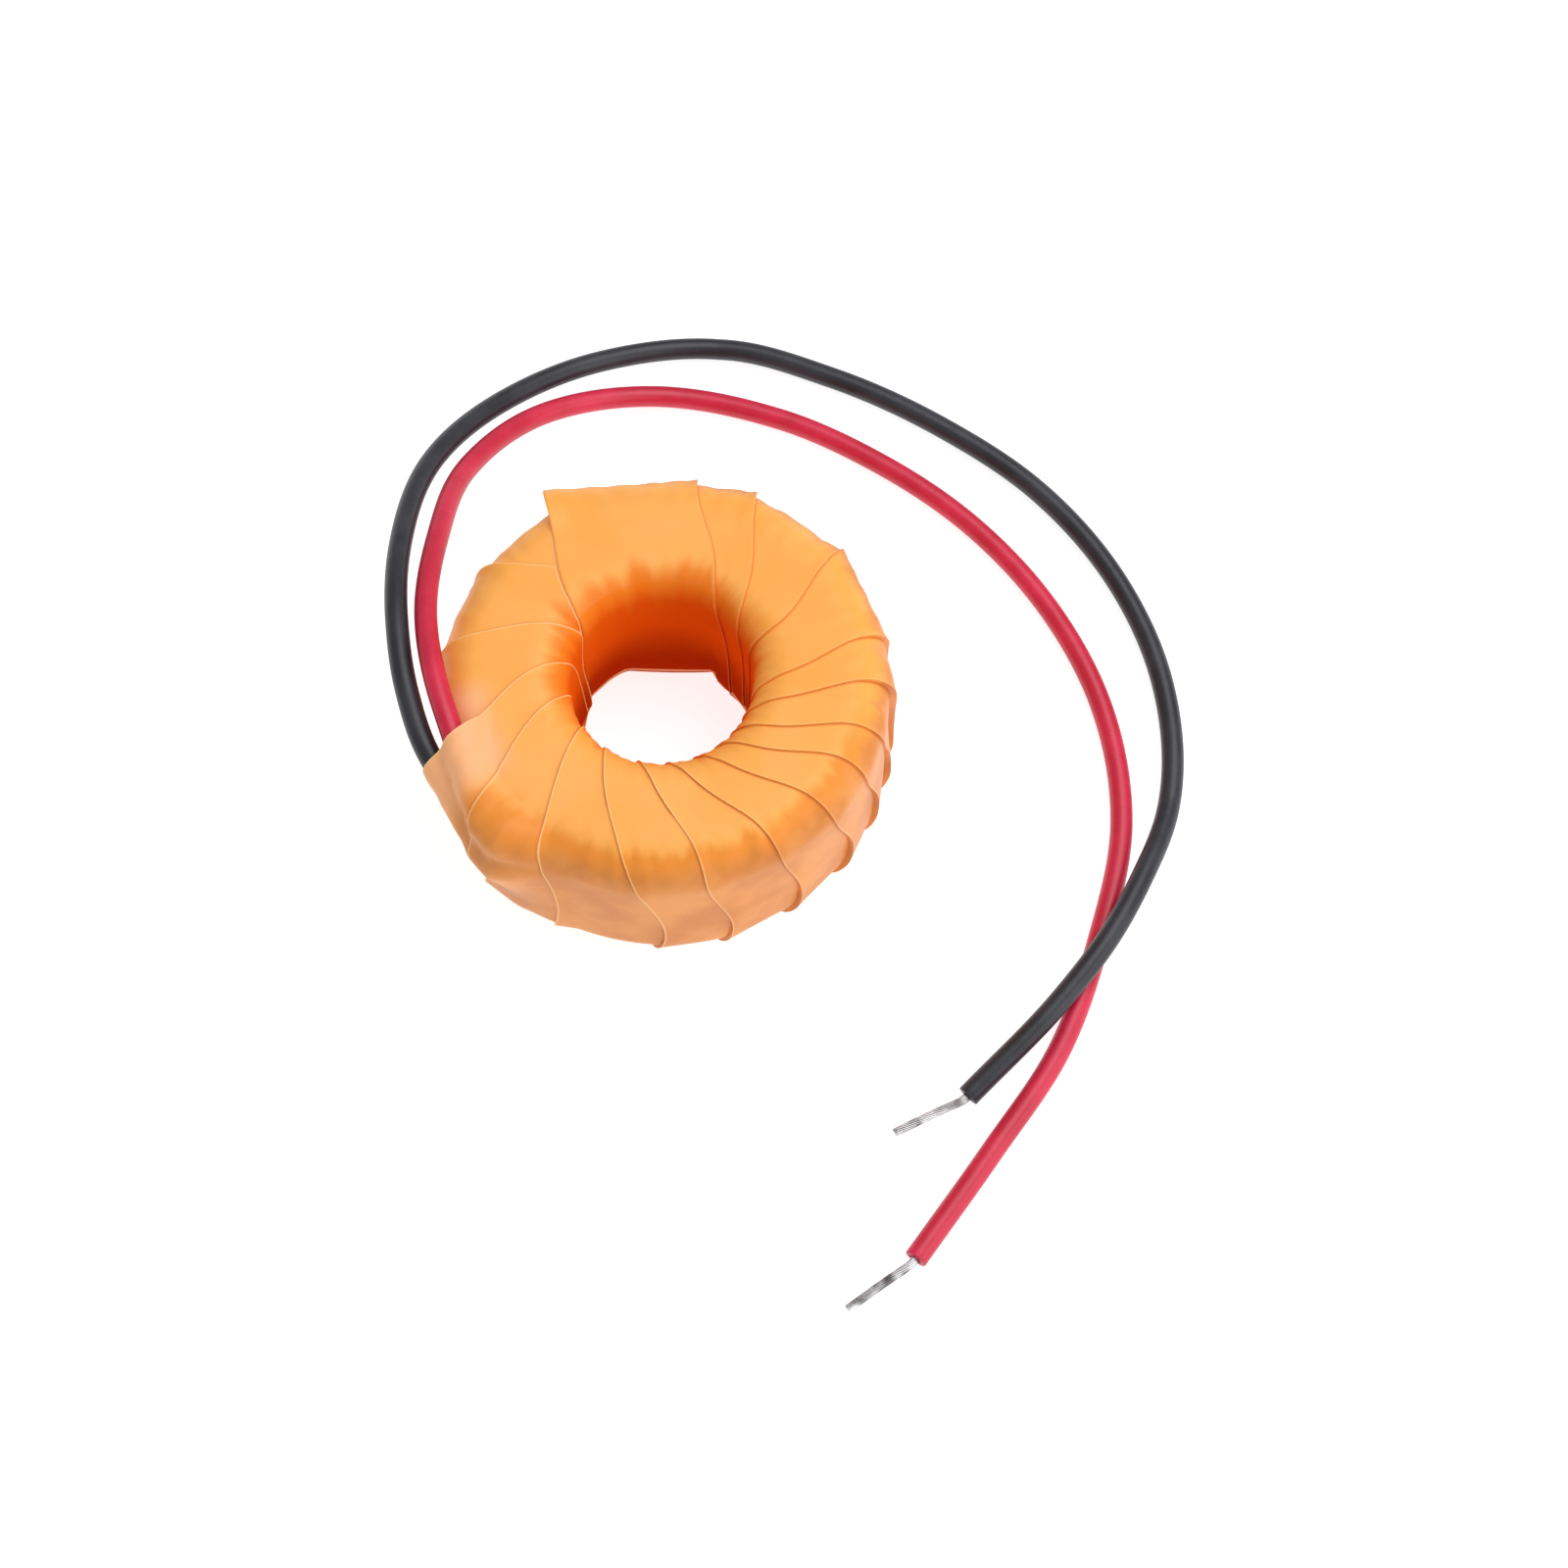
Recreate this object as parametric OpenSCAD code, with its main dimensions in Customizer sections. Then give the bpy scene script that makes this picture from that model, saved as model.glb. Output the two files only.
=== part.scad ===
// Toroidal current transformer: a strip-wound ring core with its winding,
// wrapped in lapped film tape, with two stranded leads.
// Origin at the middle of the window, +Z along the window.

/* [Core] */
// Outside diameter of the core
core_od = 27.6; // [26:0.1:30]
// Inside diameter of the core
core_id = 17.9; // [17:0.1:19]
// Height of the core along the window
core_h = 10.5; // [9:0.1:13]
// Rounding of the core's edges
core_edge = 0.4; // [0.2:0.1:0.8]
// Depth of the grooves between the wound strip's turns
strip_groove = 0.12; // [0.05:0.01:0.25]
// Turns of strip that show on each face
strip_turns = 8; // [4:1:12]

/* [Winding] */
// Thickness of the wrap on the core
wrap_t = 0.3; // [0.2:0.05:0.5]
// Corner rounding of the wrap
wrap_edge = 0.9; // [0.8:0.1:1.4]
// Build of the winding in the window
wind_in = 1.6; // [1.3:0.1:2]
// Build of the winding on the outer wall
wind_out = 0.9; // [0.7:0.1:1.4]
// Build of the winding on each face
wind_face = 1; // [0.8:0.1:1.5]
// Turns that show round the winding
wind_turns = 48; // [36:1:60]
// Depth of the valley between two turns
wind_valley = 0.14; // [0.08:0.01:0.2]
// Corner rounding of the winding in the window
wind_edge_in = 1.6; // [1.4:0.1:2]
// Corner rounding of the winding on the outside
wind_edge_out = 2.3; // [2:0.1:2.6]
// Thickness of the tape on the winding
inner_tape_t = 0.25; // [0.15:0.05:0.4]

/* [Outer tape] */
// Mean build of the outer tape
tape_t = 0.45; // [0.4:0.05:0.6]
// Least cover of tape over what lies under it
tape_skin = 0.3; // [0.2:0.05:0.4]
// Step at the edge of each lap
lap_step = 0.16; // [0.08:0.01:0.2]
// Turn of a lap's edge down the outer wall, in degrees
lap_lean = 4; // [0:1:6]

/* [Leads] */
// Diameter over the insulation
lead_d = 1.6; // [1.4:0.1:1.8]
// Gap round a lead or sleeve where it lies in the tape
lead_fit = 0.1; // [0.05:0.05:0.2]
// Diameter of the stranded conductor
strand_d = 0.76; // [0.5:0.02:0.9]
// Bare length of conductor at the free end
strip_l = 5.7; // [4:0.1:10]
// Bend of the bare end, in degrees
tip_bend = 19; // [0:1:30]
// How far the strands draw in where they leave the insulation
gather_in = 0.08; // [0.04:0.01:0.1]
// Length of that drawn-in stretch
gather_l = 0.5; // [0.4:0.1:0.9]

/* [Joints under the tape] */
// Bare length of conductor inside the joint
joint_bare = 0.8; // [0.5:0.1:1]
// Diameter of the solder joint
joint_d = 1; // [0.9:0.1:1.1]
// Length of the solder joint
joint_l = 1.7; // [1.2:0.1:1.8]
// Wall of the sleeve over the joint
sleeve_t = 0.2; // [0.15:0.05:0.25]
// Length of the sleeve
sleeve_l = 3.2; // [2.9:0.1:3.6]
// Diameter of the winding wire
wire_d = 0.3; // [0.2:0.02:0.4]

/* [Hidden] */
$fn = 64;

// radii and half heights of each layer's outside
wrap_r = core_od / 2 + wrap_t;
wrap_ri = core_id / 2 - wrap_t;
wrap_hh = core_h / 2 + wrap_t;
wind_r = wrap_r + wind_out;
wind_ri = wrap_ri - wind_in;
wind_hh = wrap_hh + wind_face;
in_r = wind_r + inner_tape_t;
in_ri = wind_ri - inner_tape_t;
in_hh = wind_hh + inner_tape_t;
in_ci = wind_edge_in + inner_tape_t;
in_co = wind_edge_out + inner_tape_t;
ring_r = in_r + tape_t;
window_r = in_ri - tape_t;
ring_hh = in_hh + tape_t;
ring_ci = in_ci + tape_t;
ring_co = in_co + tape_t;

// laps of the tape, counter-clockwise: where the edge leaves the window, where it
// meets the outer wall (degrees), and how far each end of the lap stands off outside
laps = [
  [143, 144, 0.05, 0.05], [148, 171, 0.10, 0.00], [174, 204, 0.20, 0.75],
  [194, 217, 0.75, 0.00], [219, 240, 0.15, 0.00], [239, 264, 0.15, 0.00],
  [264, 283, 0.20, 0.00], [282, 303, 0.20, 0.00], [300, 320, 0.25, 0.05],
  [315, 334, 0.30, 0.05], [327, 344, 0.40, 0.05], [341, 359, 0.40, 0.05],
  [350, 372, 0.40, 0.70], [380, 400, 0.60, 0.05], [400, 426, 0.50, 0.05],
  [420, 441, 0.15, 1.60], [500, 480, -0.10, 0.00]
];
flap = 2;
lap_cols = 5;
lap_gap = 0.6;

// each lead runs straight under the tape from where it leaves the flap to its
// joint's end: angle, distance past the inner tape's wall, depth below the top
black_seat = [[202, 1.35, 1.3], [224, 1.45, 3.6]];
red_seat = [[200, -0.5, -0.15], [223, 0.85, 0.9]];
sleeve_d = joint_d + 2 * (sleeve_t + lead_fit);
room_d = max(lead_d, sleeve_d) + 2 * lead_fit;
// the free run of each lead: x, y, height above the surface it lies on
cross_up = lead_d + 0.15;
black_run = [[-ring_r - 1.5, -1.5, ring_hh * 2 - 1.5], [-ring_r - 2.5, 4, ring_hh * 2 - 1.5],
  [-18.5, 11.5, 11], [-17, 20, 7.5], [-12.5, 27, 4], [-5.5, 32, 1.5], [3.5, 34, 0],
  [12, 31.5, 0], [20.5, 27, 0], [27.5, 21.5, 0], [33, 14, 0], [36, 5.5, 0], [36, -4, 0],
  [33.5, -10.5, cross_up - 0.4], [31, -15, cross_up], [27.5, -19.5, cross_up - 0.4],
  [21, -26, 0]];
red_run = [[-ring_r + 0.5, -1, ring_hh * 2 - 0.5], [-ring_r - 0.5, 4, ring_hh * 2 - 1.5],
  [-16, 12, 10.5], [-14.5, 20, 6.5], [-9.5, 26.5, 3], [-1.5, 29.5, 0.5], [7.5, 28, 0],
  [15.5, 24, 0], [22.5, 18.5, 0], [28, 11.5, 0], [31.5, 3.5, 0], [32.5, -5.5, 0],
  [30.5, -14.5, 0], [27.5, -22.5, 0], [22.5, -30, 0], [17.2, -37.4, 0]];
lead_sides = 8;
ring_pitch = lead_d * 2.6;

function clamp(x, a, b) = min(max(x, a), b);
function ease(x) = let (t = clamp(x, 0, 1)) t * t * (3 - 2 * t);
function mix(a, b, t) = a + (b - a) * t;
function unit(v) = v / norm(v);
function polar(a, r, z) = [r * cos(a), r * sin(a), z];

// section of a rounded ring as [r, z, normal r, normal z], from the foot of the
// window wall up, out over the top, down the outer wall and back below
function arc(cr, cz, rad, a0, a1, n, skip = 0) =
  [for (i = [skip:n]) let (a = mix(a0, a1, i / n)) [cr + rad * cos(a), cz + rad * sin(a), cos(a), sin(a)]];
function section(ri, ro, hh, ci, co, n, m) = concat(
  [[ri, 0, -1, 0]],
  arc(ri + ci, hh - ci, ci, 180, 90, n),
  [for (i = [1:m - 1]) [mix(ri + ci, ro - co, i / m), hh, 0, 1]],
  arc(ro - co, hh - co, co, 90, 0, n),
  [[ro, 0, 1, 0]],
  arc(ro - co, co - hh, co, 0, -90, n),
  arc(ri + ci, ci - hh, ci, -90, -180, n));

// the outer tape's section, whose window wall lies inside the bore that cuts it
function tape_section(n, no, m) =
  let (zl = ring_hh - ring_ci * 0.75, wi = window_r - 0.5, wo = window_r + 0.15)
  concat([[wi, 0, -1, 0], [wi, zl, -1, 0], [wo, zl, -1, 0]],
    arc(window_r + ring_ci, ring_hh - ring_ci, ring_ci, 180, 90, n, 1),
    [for (i = [1:m - 1]) [mix(window_r + ring_ci, ring_r - ring_co, i / m), ring_hh, 0, 1]],
    arc(ring_r - ring_co, ring_hh - ring_co, ring_co, 90, 0, no),
    [for (t = [0.25, 0.5, 0.8]) [ring_r, mix(ring_hh - ring_co, ring_co - ring_hh, t), 1, 0]],
    arc(ring_r - ring_co, ring_co - ring_hh, ring_co, 0, -90, n),
    [for (i = [0:n - 1]) let (a = mix(-90, -180, i / n))
      [window_r + ring_ci + ring_ci * cos(a), ring_ci - ring_hh + ring_ci * sin(a), cos(a), sin(a)]],
    [[wo, -zl, -1, 0], [wi, -zl, -1, 0]]);

module ring2d(ri, ro, hh, ci, co) {
  // straight walls with true arcs at the corners
  union() {
    translate([ri, ci - hh]) square([ro - ri - max(0, co - ci), 2 * (hh - ci)]);
    translate([ri + ci, -hh]) square([ro - ri - ci - co, 2 * hh]);
    translate([ro - co - 0.01, co - hh]) square([co + 0.01, 2 * (hh - co)]);
    for (s = [-1, 1]) {
      translate([ri + ci, s * (hh - ci)]) circle(r = ci);
      translate([ro - co, s * (hh - co)]) circle(r = co);
    }
  }
}
module ring(ri, ro, hh, ci, co) {
  rotate_extrude($fn = 96) ring2d(ri, ro, hh, ci, co);
}

// closed skin over a grid of points, rows along the section; the last row of each
// column joins the first row of the column that lies shift further on
module skin(grid, shift = 0) {
  nu = len(grid);
  nv = len(grid[0]);
  polyhedron(
    points = [for (c = grid) each c],
    faces = [for (i = [0:nu - 1], j = [0:nv - 1])
      let (k = (i + 1) % nu, e = j == nv - 1 ? shift : 0, jn = (j + 1) % nv,
           a = i * nv + j, b = k * nv + j,
           c = ((k + e) % nu) * nv + jn, d = ((i + e) % nu) * nv + jn)
      each [[a, b, c], [a, c, d]]]);
}

// angle of a lap's edge at a point of the section
function edge_in(k) = laps[k % len(laps)][0] + 360 * floor(k / len(laps));
function edge_out(k) = laps[k % len(laps)][1] + 360 * floor(k / len(laps));
function edge_at(k, s) =
  let (across = clamp((s[0] - window_r) / (ring_r - window_r), 0, 1))
  s[2] < -0.99 ? edge_in(s[1] < 0 ? k + 1 : k)
  : s[3] > 0 || s[2] > 0.99 && s[1] > 0 ? mix(edge_in(k), edge_out(k), across)
  : s[2] > 0 && s[1] > co_low() ? edge_out(k) + lap_lean / 2
  : mix(edge_in(k + 1), edge_out(k) + lap_lean, across);
function co_low() = ring_co - ring_hh;

// line of a lead under the tape, and the same as [angle, radius, height]
function seat_at(seat, t) =
  let (p = polar(seat[0][0], in_r + seat[0][1], ring_hh - seat[0][2]),
       q = polar(seat[1][0], in_r + seat[1][1], ring_hh - seat[1][2]))
  mix(p, q, t);
function seat_polar(seat) = [for (i = [-1:6]) let (p = seat_at(seat, i / 6))
  [atan2(p[1], p[0]) + 360, norm([p[0], p[1]]), p[2]]];

// how far the tape must stand off at a point of the section to cover a lead
function cover(az, s, line) =
  let (d = [lookup(az, [for (p = line) [p[0], p[1]]]) - s[0],
            lookup(az, [for (p = line) [p[0], p[2]]]) - s[1]],
       up = d[0] * s[2] + d[1] * s[3],
       w = abs(d[0] * s[3] - d[1] * s[2]),
       rs = room_d / 2 + tape_skin * 1.8)
  up + (w < rs * 0.45 ? sqrt(rs * rs - w * w) : rs * 1.12 - w * 0.5);

function tape_pt(k, t, s) =
  let (e0 = edge_at(k, s), e1 = edge_at(k + 1, s) - lap_gap,
       az = mix(e0, e1, t),
       lap = laps[k % len(laps)],
       wall = max(0, s[2]),
       flat_off = ease((s[3] + 0.85) / 0.3),
       last = k == len(laps) - 1,
       step = last ? 0 : k == len(laps) - 2 ? lap_step * (1 - t * 0.4) : lap_step * (1 - t),
       h0 = lap[2] + (last ? 0 : lap_step), h1 = lap[3],
       // a lap lies straight from edge to edge on the outer wall
       r0 = s[0] + h0, r1 = s[0] + h1, span = e1 - e0,
       chord = r0 * r1 * sin(span) / (r0 * sin(span * t) + r1 * sin(span * (1 - t))) - s[0],
       low = tape_skin - tape_t,
       h = flat_off * mix(step, max(chord, low), wall),
       bulge = k >= flap && k < flap + 4 && s[3] > -0.95 && s[0] > (window_r + ring_r) / 2
         ? max(cover(az, s, black_line), cover(az, s, red_line)) * (1 - ease((az - 227) / 13)) : 0,
       g = s[2] < -0.99 ? 0 : max(h, bulge))
  polar(az, s[0] + g * s[2], s[1] + g * s[3]);

// smooth run through points, one ring about every ring_pitch
function slope(p, i, first) =
  let (a = max(i - 1, 0), b = min(i + 1, len(p) - 1))
  i == 0 ? first : i == len(p) - 1 ? unit(p[b] - p[a])
  : let (u = p[i] - p[i - 1], v = p[i + 1] - p[i], lu = norm(u), lv = norm(v))
    unit(u * (lv / lu) + v * (lu / lv));
function hermite(p, q, m, n, t) =
  let (l = norm(q - p))
  p * (2 * t * t * t - 3 * t * t + 1) + m * l * (t * t * t - 2 * t * t + t)
  + q * (3 * t * t - 2 * t * t * t) + n * l * (t * t * t - t * t);
function smooth(p, first) = concat([for (i = [0:len(p) - 2])
  let (n = max(1, round(norm(p[i + 1] - p[i]) / ring_pitch)))
  each [for (j = [0:n - 1]) hermite(p[i], p[i + 1], slope(p, i, first), slope(p, i + 1, first), j / n)]],
  [p[len(p) - 1]]);

function run_pts(run) = [for (p = run) [p[0], p[1], lead_d / 2 - ring_hh + p[2]]];
function lead_len(seat) = norm(seat_at(seat, 1) - seat_at(seat, 0)) - sleeve_l - lead_fit;
function lead_pts(seat, run) =
  let (e = seat_at(seat, 0), d = joint_dir(seat), r = smooth(concat([e], run_pts(run)), -d))
  concat([e + d * lead_len(seat)], [for (q = r) [q[0], q[1], max(q[2], lead_d / 2 - ring_hh)]]);
function joint_dir(seat) = unit(seat_at(seat, 1) - seat_at(seat, 0));

// direction of each ring of a tube, and the tube itself
function tangent(p, i) = unit(p[min(i + 1, len(p) - 1)] - p[max(i - 1, 0)]);
function side(t) = unit(cross(t, [0, 0, 1]));
module tube(p, d, first, last) {
  n = lead_sides;
  m = len(p);
  rings = [for (i = [0:m - 1])
    let (t = i == 0 ? first : i == m - 1 ? last : tangent(p, i), u = side(t), v = cross(u, t))
    for (j = [0:n - 1]) p[i] + (u * cos(360 * (j + 0.5) / n) + v * sin(360 * (j + 0.5) / n)) * d / 2];
  polyhedron(rings, concat(
    [[for (j = [n - 1:-1:0]) j]],
    [for (i = [0:m - 2], j = [0:n - 1]) let (k = (j + 1) % n)
      each [[i * n + j, i * n + k, (i + 1) * n + j], [i * n + k, (i + 1) * n + k, (i + 1) * n + j]]],
    [[for (j = [0:n - 1]) (m - 1) * n + j]]));
}

black_line = seat_polar(black_seat);
red_line = seat_polar(red_seat);
black_pts = lead_pts(black_seat, black_run);
red_pts = lead_pts(red_seat, red_run);
function end_dir(p) = let (n = len(p), d = p[n - 1] - p[n - 2]) unit([d[0], d[1], 0]);

// local +Z laid along a direction at a point
module along(p, d) {
  translate(p) rotate([0, acos(d[2]), atan2(d[1], d[0])]) children();
}

module lead(p, seat) {
  tube(p, lead_d, -joint_dir(seat), end_dir(p));
}
// room in the tape for a lead and its joint, open where the lead bends away
module lead_room(p, seat) {
  along(seat_at(seat, 0), joint_dir(seat))
    cylinder(d = room_d, h = norm(seat_at(seat, 1) - seat_at(seat, 0)));
  along(p[1] - unit(p[2] - p[1]) * 0.3, unit(p[2] - p[1])) cylinder(d = room_d + 0.1, h = 3.3);
}
// bare end, turned to one side where it leaves the insulation, with its strands drawn in there
module tip(p, turn) {
  d = end_dir(p);
  w = 4 * strand_d;
  r = strand_d / 2;
  translate(p[len(p) - 1]) rotate([0, 0, atan2(d[1], d[0])]) difference() {
    rotate([0, 90, turn]) rotate_extrude()
      polygon([[0, -gather_l], [r - 2 * gather_in, -gather_l], [r, gather_l], [r, strip_l], [0, strip_l]]);
    translate([-w, -w / 2, -w / 2]) cube(w);
  }
}
module inner_strand(p, seat) {
  along(p[0], joint_dir(seat)) cylinder(d = strand_d, h = joint_bare);
}
module solder(p, seat) {
  along(p[0], joint_dir(seat)) translate([0, 0, joint_bare]) {
    translate([0, 0, joint_d / 4]) cylinder(d = joint_d, h = joint_l - joint_d / 2);
    cylinder(d1 = strand_d, d2 = joint_d, h = joint_d / 4);
    translate([0, 0, joint_l - joint_d / 4]) cylinder(d1 = joint_d, d2 = wire_d * 1.6, h = joint_d / 4);
  }
}
module sleeve(p, seat) {
  along(p[0], joint_dir(seat)) difference() {
    cylinder(d = sleeve_d, h = sleeve_l);
    translate([0, 0, -1]) cylinder(d = joint_d + 2 * lead_fit, h = sleeve_l + 2);
  }
}
// end of the winding wire, from the solder joint round the sleeve's end and down to the winding
module tail_wire(p, seat, extra = 0) {
  d = joint_dir(seat);
  s = p[0] + d * (sleeve_l - wire_d / 2);
  b = p[0] + d * (sleeve_l + wire_d * 1.5);
  c = unit([b[0], b[1], 0]) * (wind_r - wind_edge_out) + [0, 0, min(b[2], wind_hh - wind_edge_out)];
  f = c + unit(b - c) * (wind_edge_out + lead_fit / 2 - extra);
  tube(concat([p[0] + d * (joint_bare + joint_l)],
    [for (t = [0, 0.35, 0.65, 1]) s * (1 - t) * (1 - t) + b * 2 * t * (1 - t) + f * t * t]),
    wire_d + extra, d, unit(f - b));
}

module core() {
  color("slategray") rotate_extrude($fn = 96) {
    a = core_id / 2 + core_edge;
    p = (core_od / 2 - core_edge - a) / strip_turns;
    g = p * 0.24;
    face = [for (i = [1:strip_turns - 1]) each
      [[a + i * p - g, core_h / 2], [a + i * p, core_h / 2 - strip_groove],
       [a + i * p + g, core_h / 2]]];
    top = concat([[core_id / 2, core_h / 2 - core_edge], [core_id / 2 + core_edge, core_h / 2]],
      face, [[core_od / 2 - core_edge, core_h / 2], [core_od / 2, core_h / 2 - core_edge]]);
    polygon(concat(top, [for (i = [len(top) - 1:-1:0]) [top[i][0], -top[i][1]]]));
  }
}
module core_wrap() {
  color("khaki") difference() {
    ring(wrap_ri, wrap_r, wrap_hh, wrap_edge, wrap_edge);
    rotate_extrude($fn = 96) polygon([
      [core_id / 2, -core_h / 2 + core_edge], [core_id / 2 + core_edge, -core_h / 2],
      [core_od / 2 - core_edge, -core_h / 2], [core_od / 2, -core_h / 2 + core_edge],
      [core_od / 2, core_h / 2 - core_edge], [core_od / 2 - core_edge, core_h / 2],
      [core_id / 2 + core_edge, core_h / 2], [core_id / 2, core_h / 2 - core_edge]]);
  }
}
module winding() {
  s = section(wind_ri, wind_r, wind_hh, wind_edge_in, wind_edge_out, 2, 2);
  color("peru") difference() {
    skin([for (i = [0:2 * wind_turns - 1])
      [for (q = s) let (d = i % 2 == 0 ? 0 : -wind_valley * (q[0] > core_id / 2 ? 1 : 0.5))
        polar(i * 180 / wind_turns, q[0] + d * q[2], q[1] + d * q[3])]]);
    ring(wrap_ri, wrap_r, wrap_hh, wrap_edge, wrap_edge);
  }
}
module inner_tape() {
  color("goldenrod") difference() {
    ring(in_ri, in_r, in_hh, in_ci, in_co);
    ring(wind_ri, wind_r, wind_hh, wind_edge_in, wind_edge_out);
    tail_wire(black_pts, black_seat, 0.1);
    tail_wire(red_pts, red_seat, 0.1);
  }
}
module outer_tape() {
  s = tape_section(3, 4, 2);
  color("orange") difference() {
    skin([for (k = [0:len(laps) - 1], i = [0:lap_cols - 1])
      [for (q = s) tape_pt(k, i / (lap_cols - 1), q)]], lap_cols);
    ring(in_ri, in_r, in_hh, in_ci, in_co);
    cylinder(r = window_r, h = 4 * ring_hh, center = true);
    lead_room(black_pts, black_seat);
    lead_room(red_pts, red_seat);
    tail_wire(black_pts, black_seat, 0.3);
    tail_wire(red_pts, red_seat, 0.3);
  }
}
module red_lead() { color("crimson") lead(red_pts, red_seat); }
module red_tip() { color("silver") tip(red_pts, -tip_bend); }
module red_inner_strand() { color("silver") inner_strand(red_pts, red_seat); }
module red_solder() { color("lightgray") solder(red_pts, red_seat); }
module red_sleeve() { color("ivory") sleeve(red_pts, red_seat); }
module red_tail() { color("peru") tail_wire(red_pts, red_seat); }
module black_lead() { color("dimgray") lead(black_pts, black_seat); }
module black_tip() { color("silver") tip(black_pts, -tip_bend); }
module black_inner_strand() { color("silver") inner_strand(black_pts, black_seat); }
module black_solder() { color("lightgray") solder(black_pts, black_seat); }
module black_sleeve() { color("ivory") sleeve(black_pts, black_seat); }
module black_tail() { color("peru") tail_wire(black_pts, black_seat); }

core();
core_wrap();
winding();
inner_tape();
outer_tape();
red_lead();
red_tip();
red_inner_strand();
red_solder();
red_sleeve();
red_tail();
black_lead();
black_tip();
black_inner_strand();
black_solder();
black_sleeve();
black_tail();
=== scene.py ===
# Current transformer: a taped ring coil with a red and a black lead
import math

import bmesh
import bpy
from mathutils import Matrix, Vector


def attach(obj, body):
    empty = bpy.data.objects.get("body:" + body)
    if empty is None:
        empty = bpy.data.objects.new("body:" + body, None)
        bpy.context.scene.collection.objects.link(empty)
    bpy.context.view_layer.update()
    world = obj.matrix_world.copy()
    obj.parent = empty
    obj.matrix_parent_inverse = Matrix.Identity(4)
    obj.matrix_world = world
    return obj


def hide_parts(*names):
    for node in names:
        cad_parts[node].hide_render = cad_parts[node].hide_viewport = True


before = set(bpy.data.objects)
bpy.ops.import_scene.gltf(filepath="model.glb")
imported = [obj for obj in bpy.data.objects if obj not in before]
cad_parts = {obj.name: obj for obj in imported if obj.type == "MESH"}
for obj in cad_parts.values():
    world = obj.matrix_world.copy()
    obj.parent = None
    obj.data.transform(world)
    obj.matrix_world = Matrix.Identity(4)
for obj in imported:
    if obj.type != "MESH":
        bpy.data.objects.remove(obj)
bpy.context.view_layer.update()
mm = 0.001
print("stage: frame loaded")

cameraSet = {
    "elevation": 66.0,  # degrees above the floor, looking along +Y
    "distance": 212.0,  # mm from the target
    "target": (8.4, -2.2, -7.25),
    "lens": 67.5,
    "sensor": 36.0,
    "clip": (0.01, 20.0),  # metres
}


def placeCamera(s):
    data = bpy.data.cameras.new("studioCamera")
    data.lens = s["lens"]
    data.sensor_width = s["sensor"]
    data.clip_start, data.clip_end = s["clip"]
    cam = bpy.data.objects.new("studioCamera", data)
    bpy.context.scene.collection.objects.link(cam)
    el = math.radians(s["elevation"])
    back = Vector((0.0, -math.cos(el), math.sin(el)))
    cam.location = (Vector(s["target"]) + back * s["distance"]) * mm
    cam.rotation_euler = (math.pi / 2 - el, 0.0, 0.0)
    bpy.context.scene.camera = cam


placeCamera(cameraSet)
print("stage: camera placed")


def polar(az, r, z):
    a = math.radians(az)
    return Vector((r * math.cos(a), r * math.sin(a), z))


def mix(a, b, t):
    return a + (b - a) * t


def ease(t):
    t = min(1.0, max(0.0, t))
    return t * t * (3 - 2 * t)


def meshObject(name, verts, faces, smooth=True):
    mesh = bpy.data.meshes.new(name)
    mesh.from_pydata([tuple(Vector(v) * mm) for v in verts], [], faces)
    mesh.update()
    if smooth:
        mesh.shade_smooth()
    obj = bpy.data.objects.new(name, mesh)
    bpy.context.scene.collection.objects.link(obj)
    return obj


def applied(obj):
    # the evaluated shape as a plain mesh, with the modifiers taken off
    bpy.context.view_layer.update()
    deps = bpy.context.evaluated_depsgraph_get()
    mesh = bpy.data.meshes.new_from_object(obj.evaluated_get(deps))
    obj.modifiers.clear()
    old = obj.data
    if obj.type == "MESH":
        obj.data = mesh
        bpy.data.meshes.remove(old)
        return obj
    new = bpy.data.objects.new(obj.name, mesh)
    bpy.context.scene.collection.objects.link(new)
    name = obj.name
    bpy.data.objects.remove(obj)
    new.name = name
    return new


class NodeDesk:
    # adds and joins nodes with little typing
    def __init__(self, tree):
        self.tree = tree

    def add(self, kind, inputs=None, **settings):
        node = self.tree.nodes.new(kind)
        for key, value in settings.items():
            setattr(node, key, value)
        for key, value in (inputs or {}).items():
            self.feed(value, node.inputs[key])
        return node

    def feed(self, value, socket):
        if isinstance(value, bpy.types.NodeSocket):
            self.tree.links.new(value, socket)
        elif value is not None:
            socket.default_value = value

    def math(self, operation, a, b=None):
        return self.add("ShaderNodeMath", {0: a, 1: b}, operation=operation).outputs[0]

    def ramp(self, value, start, end):
        # a soft step from 0 at start to 1 at end
        return self.add("ShaderNodeMapRange", {0: value, 1: start, 2: end},
                        interpolation_type="SMOOTHSTEP").outputs[0]

    def tint(self, factor, a, b):
        return self.add("ShaderNodeMix", {"Factor": factor, "A": a, "B": b},
                        data_type="RGBA").outputs["Result"]

    def noise(self, inputs, **settings):
        return self.add("ShaderNodeTexNoise", inputs, **settings).outputs["Fac"]

    def stored(self, name):
        # a value that the mesh carries at each point
        return self.add("ShaderNodeAttribute", attribute_name=name).outputs["Fac"]


def newTree(name, inputs):
    tree = bpy.data.node_groups.new(name, "GeometryNodeTree")
    face = tree.interface
    face.new_socket("Geometry", in_out="INPUT", socket_type="NodeSocketGeometry")
    for label, kind in inputs:
        face.new_socket(label, in_out="INPUT", socket_type="NodeSocket" + kind)
    face.new_socket("Geometry", in_out="OUTPUT", socket_type="NodeSocketGeometry")
    desk = NodeDesk(tree)
    return tree, desk, desk.add("NodeGroupInput").outputs


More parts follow.
